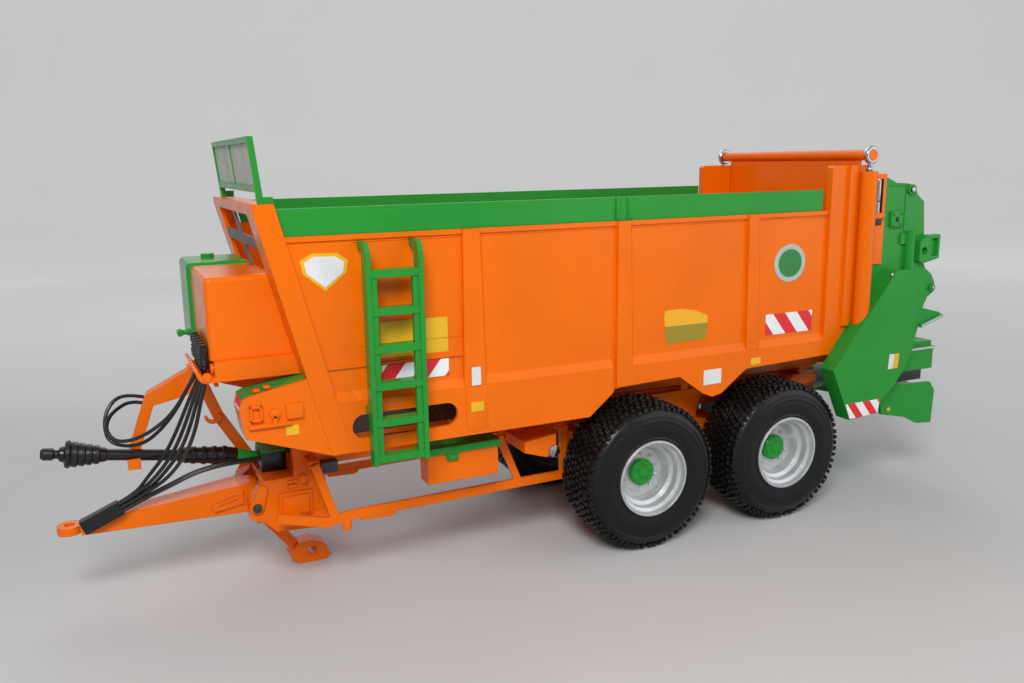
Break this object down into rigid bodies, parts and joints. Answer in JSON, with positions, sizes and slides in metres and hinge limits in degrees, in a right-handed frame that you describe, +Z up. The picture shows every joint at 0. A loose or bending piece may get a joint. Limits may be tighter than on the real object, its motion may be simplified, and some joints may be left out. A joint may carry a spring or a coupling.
{
  "type": "manure spreader scale model",
  "caption": "Towed tandem-axle manure spreader as a die-cast scale model, with sliding rear gate, beaters, spreading discs, ladder, stand and drive shaft.",
  "frame": {"origin": "on the ground, at the middle of the model's length and width", "axes": "+X to the rear, +Y to the vehicle's right side, +Z up"},
  "size_m": [0.3169, 0.089, 0.1364],
  "materials": {
    "orange_paint": "gloss paint on die-cast metal",
    "green_paint": "gloss paint",
    "silver_paint": "silver paint",
    "tyre_rubber": "soft black rubber",
    "chrome": "bright plating",
    "black_plastic": "satin moulded plastic",
    "hose_rubber": "soft tube",
    "grey_bars": "grey",
    "mesh_pane": "fine mesh",
    "chain_steel": "dark"
  },
  "bodies": {
    "root": {"axles": "orange_paint", "bogie_beams": "orange_paint", "chassis_frame": "orange_paint", "side_panels": "orange_paint", "skirts": "orange_paint", "front_wall": "orange_paint", "load_floor": "orange_paint", "rear_posts": "orange_paint", "drawbar": "orange_paint", "headstock": "orange_paint", "guard_rails": "orange_paint", "side_box": "orange_paint", "hose_bracket": "orange_paint", "valve_housing": "orange_paint", "front_shelf": "orange_paint", "front_cheeks": "orange_paint", "side_boards": "green_paint", "headboard_frame": "green_paint", "unit_housing": "green_paint", "disc_deck": "green_paint", "side_guards": "green_paint", "drive_line": "green_paint", "oil_tank": "green_paint", "side_box_lid": "green_paint", "cheek_covers": "green_paint", "ladder": "green_paint", "door_cylinders": "chrome", "hose_fittings": "black_plastic", "hose_1": "hose_rubber", "hose_2": "hose_rubber", "hose_3": "hose_rubber", "hose_4": "hose_rubber", "hose_5": "hose_rubber", "hose_6": "hose_rubber", "hose_7": "hose_rubber", "hose_8": "hose_rubber", "window_bars": "grey_bars", "headboard_mesh": "mesh_pane", "floor_chain": "chain_steel"},
    "wheel_front_left": {"tyre_front_left": "tyre_rubber", "rim_front_left": "silver_paint", "hub_front_left": "green_paint"},
    "wheel_front_right": {"tyre_front_right": "tyre_rubber", "rim_front_right": "silver_paint", "hub_front_right": "green_paint"},
    "wheel_rear_left": {"tyre_rear_left": "tyre_rubber", "rim_rear_left": "silver_paint", "hub_rear_left": "green_paint"},
    "wheel_rear_right": {"tyre_rear_right": "tyre_rubber", "rim_rear_right": "silver_paint", "hub_rear_right": "green_paint"},
    "gate": {"gate_panel": "orange_paint", "gate_rods": "chrome"},
    "stand": {"stand_leg": "orange_paint"},
    "beater_lower": {"beater_lower": "green_paint"},
    "beater_upper": {"beater_upper": "green_paint"},
    "disc_left": {"disc_left": "green_paint"},
    "disc_right": {"disc_right": "green_paint"},
    "drive_shaft": {"drive_shaft": "black_plastic"},
    "door": {"unit_door": "green_paint"}
  },
  "joints": [
    {"name": "wheel_front_left_spin", "type": "hinge", "parent": "root", "child": "wheel_front_left", "pos_m": [0.0215, 0, 0.0253], "axis": [0, 1, 0], "continuous": true},
    {"name": "wheel_front_right_spin", "type": "hinge", "parent": "root", "child": "wheel_front_right", "pos_m": [0.0215, 0, 0.0253], "axis": [0, 1, 0], "continuous": true},
    {"name": "wheel_rear_left_spin", "type": "hinge", "parent": "root", "child": "wheel_rear_left", "pos_m": [0.0785, 0, 0.0253], "axis": [0, 1, 0], "continuous": true},
    {"name": "wheel_rear_right_spin", "type": "hinge", "parent": "root", "child": "wheel_rear_right", "pos_m": [0.0785, 0, 0.0253], "axis": [0, 1, 0], "continuous": true},
    {"name": "gate_lift", "type": "slide", "parent": "root", "child": "gate", "axis": [0, 0, 1], "range_m": [0, 0.04]},
    {"name": "stand_swing", "type": "hinge", "parent": "root", "child": "stand", "pos_m": [-0.0979, 0.004, 0.0184], "axis": [0, -1, 0], "range_deg": [0, 40]},
    {"name": "beater_lower_spin", "type": "hinge", "parent": "root", "child": "beater_lower", "pos_m": [0.1297, 0, 0.0845], "axis": [0, 1, 0], "continuous": true},
    {"name": "beater_upper_spin", "type": "hinge", "parent": "root", "child": "beater_upper", "pos_m": [0.1297, 0, 0.106], "axis": [0, 1, 0], "continuous": true},
    {"name": "disc_left_spin", "type": "hinge", "parent": "root", "child": "disc_left", "pos_m": [0.1395, -0.0176, 0.0434], "axis": [0, 0, 1], "continuous": true},
    {"name": "disc_right_spin", "type": "hinge", "parent": "root", "child": "disc_right", "pos_m": [0.1395, 0.0176, 0.0434], "axis": [0, 0, 1], "continuous": true},
    {"name": "door_swing", "type": "hinge", "parent": "root", "child": "door", "pos_m": [0.1368, 0, 0.1166], "axis": [0, -1, 0], "range_deg": [0, 70]},
    {"name": "drive_shaft_spin", "type": "hinge", "parent": "root", "child": "drive_shaft", "pos_m": [-0.15829, 0, 0.0494], "axis": [0.9867, 0, -0.1626], "continuous": true}
  ]
}
